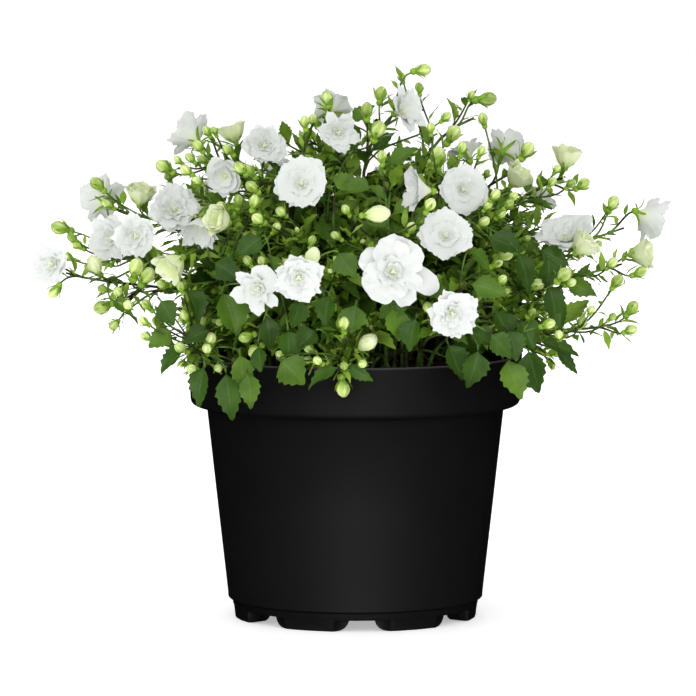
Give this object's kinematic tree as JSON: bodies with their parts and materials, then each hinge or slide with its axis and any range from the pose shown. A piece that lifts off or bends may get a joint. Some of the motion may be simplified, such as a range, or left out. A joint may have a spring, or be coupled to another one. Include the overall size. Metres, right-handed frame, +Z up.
{
  "type": "potted bellflower",
  "caption": "Bellflower plant with double white blooms, buds and leafy shoots, growing from peat in a round black plastic nursery pot with a broad collar and a notched foot.",
  "frame": {"origin": "on the pot's axis, on the surface that the pot stands on", "axes": "+Z up, +X to the right as the pictured side is seen, -Y towards the viewer"},
  "size_m": [0.3682, 0.2981, 0.3169],
  "materials": {
    "pot_plastic": "satin black moulded plastic",
    "peat": "crumbly dark brown peat",
    "foliage": "satin green leaves, thin green to brown stems, pale lime buds",
    "petal": "soft white petals with a pale yellow-green heart"
  },
  "bodies": {
    "root": {"bloom_01": "petal", "bloom_02": "petal", "bloom_03": "petal", "bloom_04": "petal", "bloom_05": "petal", "bloom_06": "petal", "bloom_07": "petal", "bloom_08": "petal", "bloom_09": "petal", "bloom_10": "petal", "bloom_11": "petal", "bloom_12": "petal", "bloom_13": "petal", "bloom_14": "petal", "bloom_15": "petal", "bloom_16": "petal", "bloom_17": "petal", "bloom_18": "petal", "bloom_19": "petal", "bloom_20": "petal", "bloom_21": "petal", "bloom_22": "petal", "bloom_23": "petal", "bloom_24": "petal", "bloom_25": "petal", "bloom_26": "petal", "bloom_27": "petal", "bloom_28": "petal", "bloom_29": "petal", "bloom_30": "petal", "bloom_31": "petal", "bloom_32": "petal", "bloom_33": "petal", "growing_medium": "peat", "pot": "pot_plastic", "shoot_back_left": "foliage", "shoot_back_middle_left": "foliage", "shoot_back_middle_right": "foliage", "shoot_back_right": "foliage", "shoot_front_hanging": "foliage", "shoot_front_left": "foliage", "shoot_front_left_low": "foliage", "shoot_front_middle": "foliage", "shoot_front_right": "foliage", "shoot_left_front": "foliage", "shoot_left_low": "foliage", "shoot_left_middle": "foliage", "shoot_left_upper": "foliage", "shoot_right_back": "foliage", "shoot_right_edge": "foliage", "shoot_right_front": "foliage", "shoot_right_low": "foliage", "shoot_right_lowest": "foliage", "shoot_right_middle": "foliage", "shoot_right_upper": "foliage", "shoot_top_left": "foliage", "shoot_top_middle": "foliage", "shoot_top_right": "foliage", "shoot_top_right_inner": "foliage", "shoot_upper_left": "foliage"}
  },
  "joints": []
}
